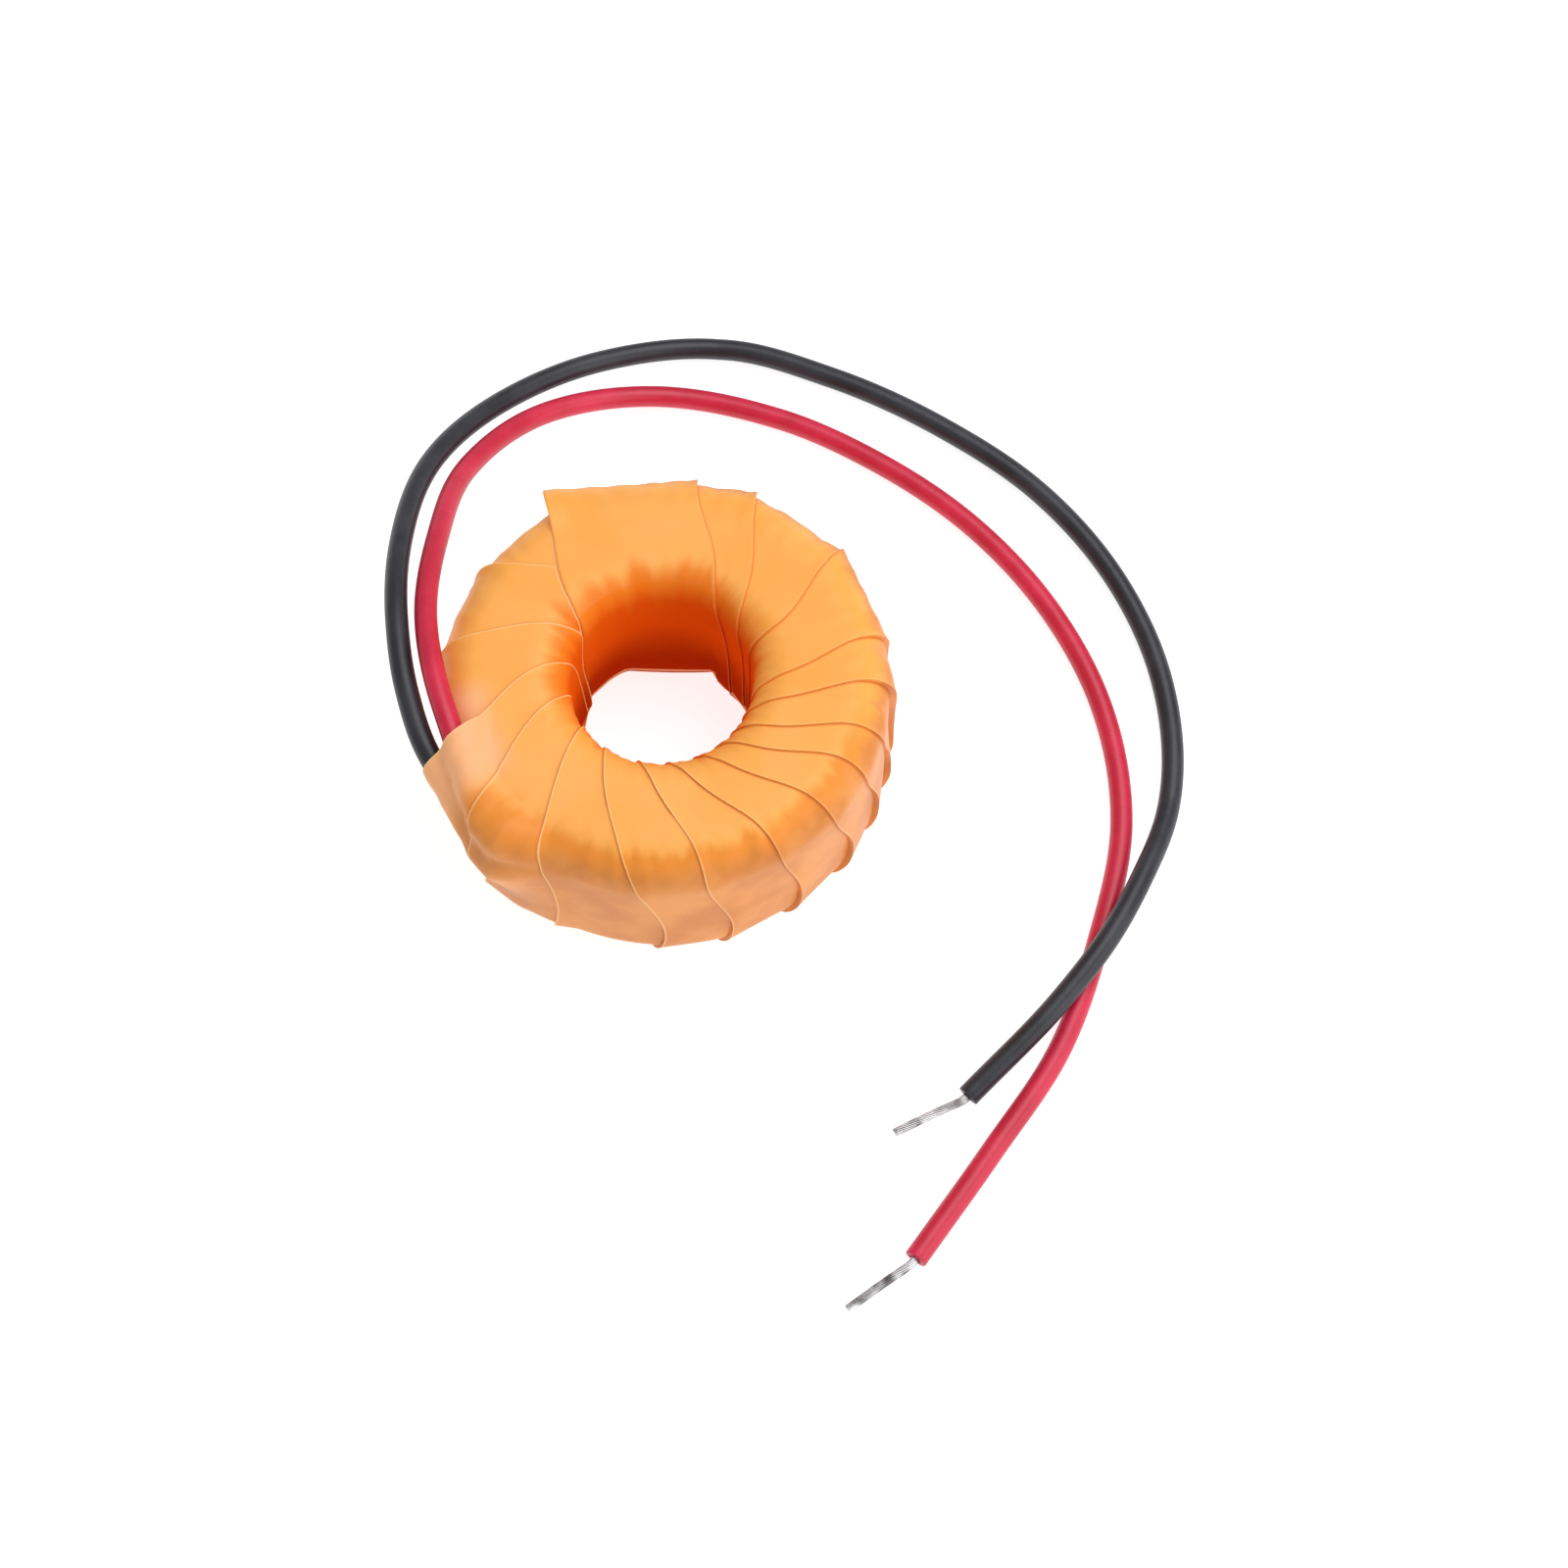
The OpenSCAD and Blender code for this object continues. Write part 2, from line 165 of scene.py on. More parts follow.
def closeTree(desk, geometry, finish):
    # real faces in one material
    plain = desk.add("GeometryNodeRealizeInstances", {"Geometry": geometry})
    painted = desk.add("GeometryNodeSetMaterial",
                       {"Geometry": plain.outputs[0], "Material": finish})
    desk.add("NodeGroupOutput", {"Geometry": painted.outputs[0]})


def setInputs(modifier, values):
    for item in modifier.node_group.interface.items_tree:
        if item.item_type == "SOCKET" and item.in_out == "INPUT" and item.name in values:
            modifier[item.identifier] = values[item.name]


def newMaterial(name):
    # the material, its desk and shader, and the place on the piece
    mat = bpy.data.materials.new(name)
    mat.use_nodes = True
    desk = NodeDesk(mat.node_tree)
    where = desk.add("ShaderNodeTexCoord").outputs["Object"]
    return mat, desk, mat.node_tree.nodes["Principled BSDF"], where


def dress(desk, shader, colour, rough, height, strength, depth):
    # colour, roughness and a bump this many mm deep
    desk.feed(colour, shader.inputs["Base Color"])
    desk.feed(rough, shader.inputs["Roughness"])
    bump = desk.add("ShaderNodeBump", {"Height": height, "Strength": strength,
                                       "Distance": depth * mm})
    desk.feed(bump.outputs["Normal"], shader.inputs["Normal"])


def rgb(r, g, b):
    # a screen colour as the shader's linear one
    def linear(c):
        c /= 255.0
        return c / 12.92 if c <= 0.04045 else ((c + 0.055) / 1.055) ** 2.4
    return (linear(r), linear(g), linear(b), 1.0)


leadSet = {
    "diameter": 1.6,
    "floor": -7.25,
    "pitch": 0.45,  # mm between rings of the tube
    "sides": 28,
    "sleeveLength": 3.3,  # taken by the joint at the end of the seat
    "tipBend": 19.0,  # degrees that the bare end turns to one side
    "tipLength": 5.7,
    # the cut end as steps back from it and shares of the radius: rim, face, mouth
    "cutEnd": ((0.015, 0.985), (0.0, 0.955), (0.0, 0.6), (0.03, 0.55), (0.25, 0.52)),
}
# seat is where the lead lies under the tape, as angle, radius and height;
# run is the way from there, as x, y and lift over the floor
blackLead = {
    "light": rgb(47, 48, 56),
    "dark": rgb(31, 31, 38),
    # a lighter colour painted on in small flecks as sheen
    "sheenFleck": rgb(96, 98, 104),
    "roughness": 0.35,  # where it is glossiest
    "seat": ((202, 16.6, 5.95), (224, 16.7, 3.65)),
    "run": ((-17.2, -1.5, 13.0), (-18.2, 4, 13.0), (-18.5, 11.5, 11), (-17, 20, 7.5),
            (-12.5, 27, 4), (-5.5, 32, 1.5), (3.5, 34, 0), (12, 31.5, 0), (20.5, 27, 0),
            (27.5, 21.5, 0), (33, 14, 0), (36, 5.5, 0), (36, -4, 0), (33.5, -10.5, 1.35),
            (31, -15, 1.75), (27.5, -19.5, 1.35), (21, -26, 0)),
}
redLead = {
    "light": rgb(217, 33, 71),
    "dark": rgb(198, 22, 56),
    # a lighter colour painted on in small flecks as sheen
    "sheenFleck": rgb(238, 112, 134),
    "roughness": 0.33,
    "seat": ((200, 14.75, 7.4), (223, 16.1, 6.35)),
    "run": ((-15.2, -1, 14.0), (-16.2, 4, 13.0), (-16, 12, 10.5), (-14.5, 20, 6.5),
            (-9.5, 26.5, 3), (-1.5, 29.5, 0.5), (7.5, 28, 0), (15.5, 24, 0), (22.5, 18.5, 0),
            (28, 11.5, 0), (31.5, 3.5, 0), (32.5, -5.5, 0), (30.5, -14.5, 0),
            (27.5, -22.5, 0), (22.5, -30, 0), (17.2, -37.4, 0)),
}


def bend(p, q, m, n, t):
    # the smooth way from p to q, leaving by m and arriving by n
    return (p * (2 * t ** 3 - 3 * t * t + 1) + m * (t ** 3 - 2 * t * t + t)
            + q * (3 * t * t - 2 * t ** 3) + n * (t ** 3 - t * t))


def smoothRun(points, first, pitch):
    def slope(i):
        if i == 0:
            return first
        if i == len(points) - 1:
            return (points[i] - points[i - 1]).normalized()
        u, v = points[i] - points[i - 1], points[i + 1] - points[i]
        return (u * (v.length / u.length) + v * (u.length / v.length)).normalized()

    out = []
    for i in range(len(points) - 1):
        p, q = points[i], points[i + 1]
        gap = (q - p).length
        steps = max(1, round(gap / pitch))
        out += [bend(p, q, slope(i) * gap, slope(i + 1) * gap, j / steps)
                for j in range(steps)]
    return out + [points[-1]]


def leadPath(lead, s):
    start, end = (polar(*p) for p in lead["seat"])
    inward = (end - start).normalized()
    lowest = s["floor"] + s["diameter"] / 2
    run = [Vector((x, y, lowest + lift)) for x, y, lift in lead["run"]]
    line = smoothRun([start] + run, -inward, s["pitch"])
    line = [Vector((p.x, p.y, max(p.z, lowest))) for p in line]
    deep = (end - start).length - s["sleeveLength"]
    steps = max(1, round(deep / s["pitch"]))
    return [start + inward * deep * (1 - i / steps) for i in range(steps)] + line


def sweepFrames(path):
    # direction and side at each point, with no sudden twist
    frames = []
    side = None
    for i, p in enumerate(path):
        t = (path[min(i + 1, len(path) - 1)] - path[max(i - 1, 0)]).normalized()
        if side is None:
            side = t.cross(Vector((0, 0, 1))).normalized()
        side = (side - t * side.dot(t)).normalized()
        frames.append((p, t, side, t.cross(side)))
    return frames


def sweptTube(name, rings, sides):
    # rings are (point, direction, side, up, radius)
    verts, faces, distances = [], [], []
    along = 0.0
    for i, (p, t, u, w, r) in enumerate(rings):
        if i:
            along += (p - rings[i - 1][0]).length
        for j in range(sides):
            a = 2 * math.pi * j / sides
            verts.append(p + (u * math.cos(a) + w * math.sin(a)) * r)
        distances += [along] * sides
    for i in range(len(rings) - 1):
        for j in range(sides):
            k = (j + 1) % sides
            faces.append((i * sides + j, i * sides + k, (i + 1) * sides + k, (i + 1) * sides + j))
    faces.append(tuple(reversed(range(sides))))
    faces.append(tuple((len(rings) - 1) * sides + j for j in range(sides)))
    obj = meshObject(name, verts, faces)
    layer = obj.data.attributes.new("along", "FLOAT", "POINT")
    layer.data.foreach_set("value", distances)
    return obj


def buildLead(name, lead, s, material):
    path = leadPath(lead, s)
    r = s["diameter"] / 2
    frames = sweepFrames(path)
    rings = [(*f, r) for f in frames]
    p, t, u, w = frames[-1]
    flat = Vector((t.x, t.y, 0)).normalized()
    rings[-1] = (p - flat * 0.05, flat, u, w, r)
    rings += [(p - flat * back, flat, u, w, r * share) for back, share in s["cutEnd"]]
    obj = sweptTube(name, rings, s["sides"])
    obj.data.materials.append(material)
    length = sum((b - a).length for a, b in zip(path, path[1:]))
    return obj, path, length, flat


def insulationMaterial(name, lead):
    mat, desk, shader, where = newMaterial(name)
    cloud = desk.noise({"Vector": where, "Scale": 260.0, "Detail": 3.0, "Roughness": 0.55})
    grain = desk.noise({"Vector": where, "Scale": 5200.0, "Detail": 2.0})
    ripple = desk.noise({"W": desk.stored("along"), "Scale": 0.9, "Detail": 2.0},
                        noise_dimensions="1D")
    colour = desk.tint(desk.ramp(cloud, 0.35, 0.7), lead["dark"], lead["light"])
    # small flecks of painted sheen in the lighter colour
    sheenFleck = desk.math("MULTIPLY", desk.ramp(grain, 0.66, 0.8), 0.18)
    rough = desk.math("ADD", desk.math("MULTIPLY", cloud, 0.14), lead["roughness"])
    height = desk.math("ADD", desk.math("MULTIPLY", grain, 0.25), ripple)
    colour = desk.tint(sheenFleck, colour, lead["sheenFleck"])
    dress(desk, shader, colour, rough, height, strength=0.35, depth=0.06)
    shader.inputs["IOR"].default_value = 1.5
    return mat


blackRubber = insulationMaterial("blackInsulation", blackLead)
redVinyl = insulationMaterial("redInsulation", redLead)
blackPiece, blackPath, blackLength, blackEnd = buildLead(
    "blackLead", blackLead, leadSet, blackRubber)
redPiece, redPath, redLength, redEnd = buildLead("redLead", redLead, leadSet, redVinyl)
print("stage: leads", round(blackLength, 1), round(redLength, 1))


strandSet = {
    "light": rgb(204, 204, 206),
    "dark": rgb(104, 102, 102),
    "lays": ((12, 0.24), (6, 0.122), (1, 0.0)),  # strands, and the radius they lie on
    "radius": 0.062,
    "twist": 520.0,  # radians per metre
    "pathSteps": 48,
    "inside": 0.3,  # mm that they start inside the insulation
}


def strandTree():
    tree, desk, given = newTree("twistedStrands", (
        ("Strand Count", "Int"), ("Lay Radius", "Float"), ("Strand Radius", "Float"),
        ("Twist", "Float"), ("Finish", "Material")))
    copies = desk.add("GeometryNodeDuplicateElements",
                      {"Geometry": given["Geometry"], "Amount": given["Strand Count"]},
                      domain="SPLINE")
    length = desk.add("GeometryNodeSplineParameter").outputs["Length"]
    share = desk.math("DIVIDE", copies.outputs["Duplicate Index"], given["Strand Count"])
    angle = desk.math("ADD", desk.math("MULTIPLY", length, given["Twist"]),
                      desk.math("MULTIPLY", share, 2 * math.pi))
    tangent = desk.add("GeometryNodeInputTangent").outputs[0]
    normal = desk.add("GeometryNodeInputNormal").outputs[0]
    turn = desk.add("ShaderNodeVectorRotate", {"Vector": normal, "Axis": tangent, "Angle": angle},
                    rotation_type="AXIS_ANGLE")
    reach = desk.add("ShaderNodeVectorMath", {0: turn.outputs[0], "Scale": given["Lay Radius"]},
                     operation="SCALE")
    moved = desk.add("GeometryNodeSetPosition", {"Geometry": copies.outputs["Geometry"],
                                                 "Offset": reach.outputs[0]})
    ring = desk.add("GeometryNodeCurvePrimitiveCircle",
                    {"Resolution": 10, "Radius": given["Strand Radius"]})
    solid = desk.add("GeometryNodeCurveToMesh", {"Curve": moved.outputs[0],
                                                 "Profile Curve": ring.outputs["Curve"],
                                                 "Fill Caps": True})
    smooth = desk.add("GeometryNodeSetShadeSmooth", {"Geometry": solid.outputs[0]})
    closeTree(desk, smooth.outputs[0], given["Finish"])
    return tree


def tipPath(path, flat, s, t):
    # out of the insulation, turned to one side, then a little back
    head = math.atan2(flat.y, flat.x)
    a = math.radians(t["tipBend"])
    points = []
    at = path[-1] - flat * s["inside"]
    total = t["tipLength"] + s["inside"]
    pace = total / s["pathSteps"]
    for i in range(s["pathSteps"] + 1):
        points.append(at.copy())
        d = i * pace
        aside = a * 1.06 * ease((d - 0.1) / 1.1) - a * 0.12 * ease((d - 1.5) / 3.5)
        at += Vector((math.cos(head - aside), math.sin(head - aside), 0)) * pace
    return points


def curveObject(name, points):
    data = bpy.data.curves.new(name, "CURVE")
    data.dimensions = "3D"
    spline = data.splines.new("POLY")
    spline.points.add(len(points) - 1)
    for i, p in enumerate(points):
        spline.points[i].co = (*(p * mm), 1.0)
    obj = bpy.data.objects.new(name, data)
    bpy.context.scene.collection.objects.link(obj)
    return obj


def joinInto(first, others):
    bm = bmesh.new()
    bm.from_mesh(first.data)
    for o in others:
        bm.from_mesh(o.data)
    bm.to_mesh(first.data)
    bm.free()
    for o in others:
        bpy.data.objects.remove(o)
    return first


def buildStrands(name, path, flat, s, t, tree, material):
    line = tipPath(path, flat, s, t)
    parts = []
    for i, (count, lay) in enumerate(s["lays"]):
        obj = curveObject(name if i == 0 else f"{name}Lay{i}", line)
        mod = obj.modifiers.new("strands", "NODES")
        mod.node_group = tree
        setInputs(mod, {"Strand Count": count, "Lay Radius": lay * mm, "Finish": material,
                        "Strand Radius": s["radius"] * mm, "Twist": s["twist"]})
        parts.append(applied(obj))
    return joinInto(parts[0], parts[1:])


def strandMaterial(s):
    mat, desk, shader, where = newMaterial("tinnedStrand")
    blotch = desk.noise({"Vector": where, "Scale": 700.0, "Detail": 1.0})
    colour = desk.tint(desk.ramp(blotch, 0.35, 0.66), s["light"], s["dark"])
    rough = desk.math("ADD", desk.math("MULTIPLY", blotch, 0.3), 0.1)
    dress(desk, shader, colour, rough, blotch, strength=0.3, depth=0.02)
    shader.inputs["Metallic"].default_value = 1.0
    return mat


tinned = strandMaterial(strandSet)
strands = strandTree()
blackTip = buildStrands("blackStrands", blackPath, blackEnd, strandSet, leadSet, strands, tinned)
redTip = buildStrands("redStrands", redPath, redEnd, strandSet, leadSet, strands, tinned)
for piece, lead, path, length, tip, colour in (
        (blackPiece, blackLead, blackPath, blackLength, blackTip, "black"),
        (redPiece, redLead, redPath, redLength, redTip, "red")):
    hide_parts(f"{colour}_lead")
    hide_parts(f"{colour}_tip")
    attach(piece, "root")
    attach(tip, "root")
print("stage: bare strands")


tapeSet = {
    "windowR": 6.35,
    "ringR": 15.7,
    "halfHeight": 7.25,
    "cornerIn": 2.3,
    "cornerOut": 3.0,
    "rows": (16, 10, 8, 14, 14, 12, 6, 10),  # in each stretch of the section
    "columns": 26,  # in each lap
    "step": 0.15,  # how far a lap's edge stands over the lap below
    "gap": 0.12,  # degrees between a lap's edge and the surface below it
    "leastLap": 0.8,  # degrees left of a lap that runs in under the last one
    "deepest": -0.16,  # where the straight stretch of a lap cuts into the round wall
    "flap": 2,  # the lap that covers the leads
    "bulgeLaps": 4,  # laps from the flap on that bulge over the leads
    "bulgeEnd": (229, 244),  # angles between which the bulge runs out
    "skin": 0.2,  # film over the leads
    "hold": 0.45,  # share of its reach over which the film lies on a lead
    "fall": (0.32, 0.5),  # how steeply it leaves the lead, below and above
    "blend": 0.35,  # mm over which it meets the ring
    "rimR": 6.5,  # radius that the window's straight stretches are set off from
    "rimDeepest": -0.4,
    "roomD": 1.7,  # round the leads, under the flap
    "roomFit": 0.99,
    "roomSides": 24,
    "roomRings": 18,  # rings of the lead that lie in its room
    "roomStart": 0.4,  # mm that the room begins before them
    "mattPlaces": (1.55, 7.2),  # the film is matt before the first and past the second
}
# each lap's open edge as the angles at the foot and top of the window wall, at both
# ends of the flat top, at the top and foot of the outer wall, then how far the lap
# stands off the wall at its two edges, and the share of that at the wall's top
tapeLaps = (
    (112, 115, 125, 141, 148, 152, 0.05, 0.05, 0.65),
    (146, 147, 157, 168, 174, 178, 0.10, 0.00, 0.65),
    (156, 168, 181.0, 197.5, 205, 203, 0.20, 0.75, 0.65),
    (186, 190, 201.5, 214.5, 223.5, 221, 0.75, 0.00, 0.65),
    (209, 213, 225, 235, 241, 242, 0.15, 0.00, 0.65),
    (228, 232, 245, 257.5, 265.5, 270, 0.15, 0.00, 0.65),
    (251, 254.5, 268, 279.5, 282.5, 287.5, 0.20, 0.00, 0.30),
    (269, 272, 286, 299, 302.5, 307, 0.20, 0.00, 0.15),
    (287, 290, 303.5, 315.5, 319.2, 325, 0.25, 0.05, 0.15),
    (302, 305, 317.5, 330, 333, 339, 0.30, 0.05, 0.15),
    (316, 319, 330, 341, 344.5, 351, 0.40, 0.05, 0.10),
    (330, 333, 345, 355, 358, 359, 0.40, 0.05, 0.90),
    (344, 347, 358, 368.5, 372, 374, 0.40, 0.70, 0.65),
    (380, 378.5, 383, 394, 400, 403, 0.55, 0.05, 0.65),
    (388, 394, 407, 420.5, 427, 428, 0.50, 0.05, 0.65),
    (401, 413, 425.5, 438.5, 442, 444, 0.50, 1.65, 0.65),
    (508, 509.5, 499, 487, 479, 475, -0.10, 0.00, 0.65),
)
# where the film lies thinner or thicker round the outside: angle and depth
wallBuild = ((0, 0.0), (44, 0.0), (52, 0.3), (60, 0.25), (68, 0.1), (80, 0.0), (118, 0.0),
             (131, -0.22), (170, -0.24), (186, -0.1), (205, 0.0), (221, 0.0), (230, 0.4),
             (239, 0.1), (247, -0.2), (306, -0.2), (325, 0.0), (360, 0.0))
# straight stretches of the window's far rim: from, to, and how far off the axis
rimFacets = ((27, 57, 6.3), (57, 121.5, 6.15), (121.5, 150, 6.85))


def straightRows(r0, z0, r1, z1, nr, nz, n, place):
    return [(mix(r0, r1, i / n), mix(z0, z1, i / n), nr, nz, place + i / n) for i in range(n)]


def arcRows(cr, cz, rad, a0, a1, n, place):
    rows = []
    for i in range(n):
        a = math.radians(mix(a0, a1, i / n))
        rows.append((cr + rad * math.cos(a), cz + rad * math.sin(a), math.cos(a), math.sin(a),
                     place + i / n))
    return rows


def sectionRows(s):
    # round the ring's section, from the foot of the window wall up and over: radius,
    # height, the outward way and a place that grows by one at each corner: 0 to 1 is the
    # window wall, 2 to 3 the flat top, 4 to 5 the outer wall and 6 to 7 the base
    w, r, h, ci, co = (s[k] for k in ("windowR", "ringR", "halfHeight", "cornerIn", "cornerOut"))
    n = s["rows"]
    return (straightRows(w, ci - h, w, h - ci, -1, 0, n[0], 0)
            + arcRows(w + ci, h - ci, ci, 180, 90, n[1], 1)
            + straightRows(w + ci, h, r - co, h, 0, 1, n[2], 2)
            + arcRows(r - co, h - co, co, 90, 0, n[3], 3)
            + straightRows(r, h - co, r, co - h, 1, 0, n[4], 4)
            + arcRows(r - co, co - h, co, 0, -90, n[5], 5)
            + straightRows(r - co, -h, w + ci, -h, 0, -1, n[6], 6)
            + arcRows(w + ci, ci - h, ci, -90, -180, n[7], 7))


def sectionLengths(s):
    # how far along the section each whole place lies
    w, r, h, ci, co = (s[k] for k in ("windowR", "ringR", "halfHeight", "cornerIn", "cornerOut"))
    inner, top, outer = ci * math.pi / 2, r - co - w - ci, co * math.pi / 2
    lengths = [0.0]
    for stretch in (2 * (h - ci), inner, top, outer, 2 * (h - co), outer, top, inner):
        lengths.append(lengths[-1] + stretch)
    return lengths


placeLength = sectionLengths(tapeSet)


def lapAngles(k):
    # the edge's angle at places 0 to 8; under the base it runs on to the next lap's
    # foot, and in the last two laps back to its own
    lap = tapeLaps[k]
    left = len(tapeLaps) - 1 - k
    end = tapeLaps[k + 1][0] if left > 1 else lap[0] + 6 * left
    return [*lap[:6], mix(lap[5], end, 0.4), mix(lap[5], end, 0.72), end]


def edgeAngle(angles, place):
    # smooth through the angles, measured along the section
    last = len(placeLength) - 1

    def rate(j):
        return (angles[j + 1] - angles[j]) / (placeLength[j + 1] - placeLength[j])

    def slope(j):
        if j in (0, last):
            return rate(min(j, last - 1))
        before, after = placeLength[j] - placeLength[j - 1], placeLength[j + 1] - placeLength[j]
        return (rate(j - 1) * after + rate(j) * before) / (before + after)

    i = min(last - 1, int(place))
    gap = placeLength[i + 1] - placeLength[i]
    return bend(angles[i], angles[i + 1], slope(i) * gap, slope(i + 1) * gap, place - i)


def lookUp(x, table):
    if x <= table[0][0]:
        return table[0][1]
    for (x0, y0), (x1, y1) in zip(table, table[1:]):
        if x <= x1:
            return mix(y0, y1, (x - x0) / (x1 - x0))
    return table[-1][1]


def seatLine(lead):
    # the seated end as angle, radius and height, begun one step early
    start, end = (polar(*p) for p in lead["seat"])
    steps = 6
    line = []
    for i in range(-1, steps + 1):
        p = mix(start, end, i / steps)
        line.append((math.degrees(math.atan2(p.y, p.x)) % 360, math.hypot(p.x, p.y), p.z))
    return line


coverLines = (seatLine(blackLead), seatLine(redLead))


def coverHeight(az, r, z, nr, nz, s):
    # how far the tape has to stand off to pass over the leads
    best = 0.0
    reach = s["roomD"] / 2 + s["skin"]
    hold = s["hold"]
    for line in coverLines:
        dr = lookUp(az, [(p[0], p[1]) for p in line]) - r
        dz = lookUp(az, [(p[0], p[2]) for p in line]) - z
        up = dr * nr + dz * nz
        below = dz * nr - dr * nz
        away = abs(below)
        fall = s["fall"][0] if below > 0 else s["fall"][1]
        if away < reach * hold:
            rise = up + math.sqrt(reach * reach - away * away)
        else:
            rise = up + reach * (math.sqrt(1 - hold * hold) + hold * fall) - away * fall
        best = max(best, rise)
    return best


def softMax(a, b, width):
    h = max(0.0, width - abs(a - b)) / width
    return max(a, b) + h * h * width * 0.25


def rimHeight(az, place, s):
    # the film runs straight from fold to fold round the foot of the window, and this
    # dies out up the wall and under the base
    share = ease((place - 7.1) / 0.5) if place > 1 else 1 - ease((place - 0.05) / 0.5)
    for start, end, off in rimFacets:
        if share > 0 and start <= az % 360 <= end:
            flat = off / math.cos(math.radians(az % 360 - (start + end) / 2))
            return share * max(s["rimDeepest"], s["rimR"] - flat)
    return 0.0


def tapePoint(k, t, row, e0, e1, s):
    # a point at share t of the way from lap k's edge to the next
    r, z, nr, nz, place = row
    az = mix(e0, e1, t)
    width = e1 - e0
    lap = tapeLaps[k]
    left = len(tapeLaps) - 1 - k
    step = s["step"] * ease(width / 4)
    if left > 1:
        rise = step * (1 - t) ** 1.3
    else:  # the last two lie nearly level
        rise = step * (1 - t * 0.35) * left
    if nz < 0:  # nothing lies lower than the base
        rise -= s["step"] * ease(-nz)
    height = rise
    wall = max(0.0, nr)
    if wall > 0 and place > 3:
        # a lap lies straight from edge to edge on the outer wall
        off = mix(lap[8], 1, ease((place - 4.2) / 0.8))
        h0 = lap[6] * off + (step if left else 0)
        h1 = lap[7] * (1 if lap[7] > 0.5 else off)
        r0, r1, span = r + h0, r + h1, math.radians(width)
        chord = r0 * r1 * math.sin(span) / (r0 * math.sin(span * t)
                                            + r1 * math.sin(span * (1 - t))) - r
        chord = max(chord, s["deepest"])
        height = mix(rise, chord, ease(wall) * ease((nz + 0.92) / 0.35))
    bulges = s["flap"] <= k < s["flap"] + s["bulgeLaps"]
    if bulges and nz > -0.95 and r > (s["windowR"] + s["ringR"]) / 2:
        start, end = s["bulgeEnd"]
        bulge = coverHeight(az, r, z, nr, nz, s) * (1 - ease((az - start) / (end - start)))
        height = softMax(height, bulge, s["blend"])
    if place > 2.9 and nz > -0.95:
        height += lookUp(az % 360, wallBuild) * ease(wall)
    height += rimHeight(az, place, s)
    return polar(az, r + height * nr, z + height * nz), az


def buildTape(s):
    rows = sectionRows(s)
    angles = [lapAngles(k) for k in range(len(tapeLaps))]
    edges = []
    for row in rows:
        line = [edgeAngle(lap, row[4]) for lap in angles]
        # the first two run in under the last lap
        line[0] = max(line[0], line[-1] - 360 + s["leastLap"])
        line[1] = max(line[1], line[0] + s["leastLap"])
        line.append(line[0] + 360)
        edges.append(line)
    verts, faces = [], []
    data = {"outward": [], "fromEdge": [], "toEdge": [], "place": [], "turn": []}
    for k in range(len(tapeLaps)):
        for c in range(s["columns"]):
            t = c / (s["columns"] - 1)
            t = t ** 1.25 if t < 0.5 else t  # closer together at the edge
            for row, line in zip(rows, edges):
                p, az = tapePoint(k, t, row, line[k], line[k + 1] - s["gap"], s)
                verts.append(p)
                flat = polar(az, row[2], 0)
                data["outward"] += (flat.x, flat.y, row[3])
                wide = math.radians(line[k + 1] - line[k]) * row[0]
                data["fromEdge"].append(wide * t)
                data["toEdge"].append(wide * (1 - t))
                data["place"].append(row[4])
                data["turn"].append(math.radians(az))
    nu, nv = len(tapeLaps) * s["columns"], len(rows)
    for i in range(nu):
        a, b = i * nv, (i + 1) % nu * nv
        for j in range(nv):
            c = (j + 1) % nv
            faces.append((a + j, b + j, b + c, a + c))
    obj = meshObject("outerTape", verts, faces)
    mesh = obj.data
    for name, values in data.items():
        kind, field = ("FLOAT_VECTOR", "vector") if name == "outward" else ("FLOAT", "value")
        mesh.attributes.new(name, kind, "POINT").data.foreach_set(field, values)
    # a lap's edge stays crisp
    sharp = mesh.attributes.new("sharp_edge", "BOOLEAN", "EDGE")
    flags = []
    for e in mesh.edges:
        a, b = (v // nv for v in e.vertices)
        flags.append(a == b and a % s["columns"] in (0, s["columns"] - 1))
    sharp.data.foreach_set("value", flags)
    bm = bmesh.new()
    bm.from_mesh(mesh)
    bmesh.ops.recalc_face_normals(bm, faces=bm.faces)
    bm.to_mesh(mesh)
    bm.free()
    return obj


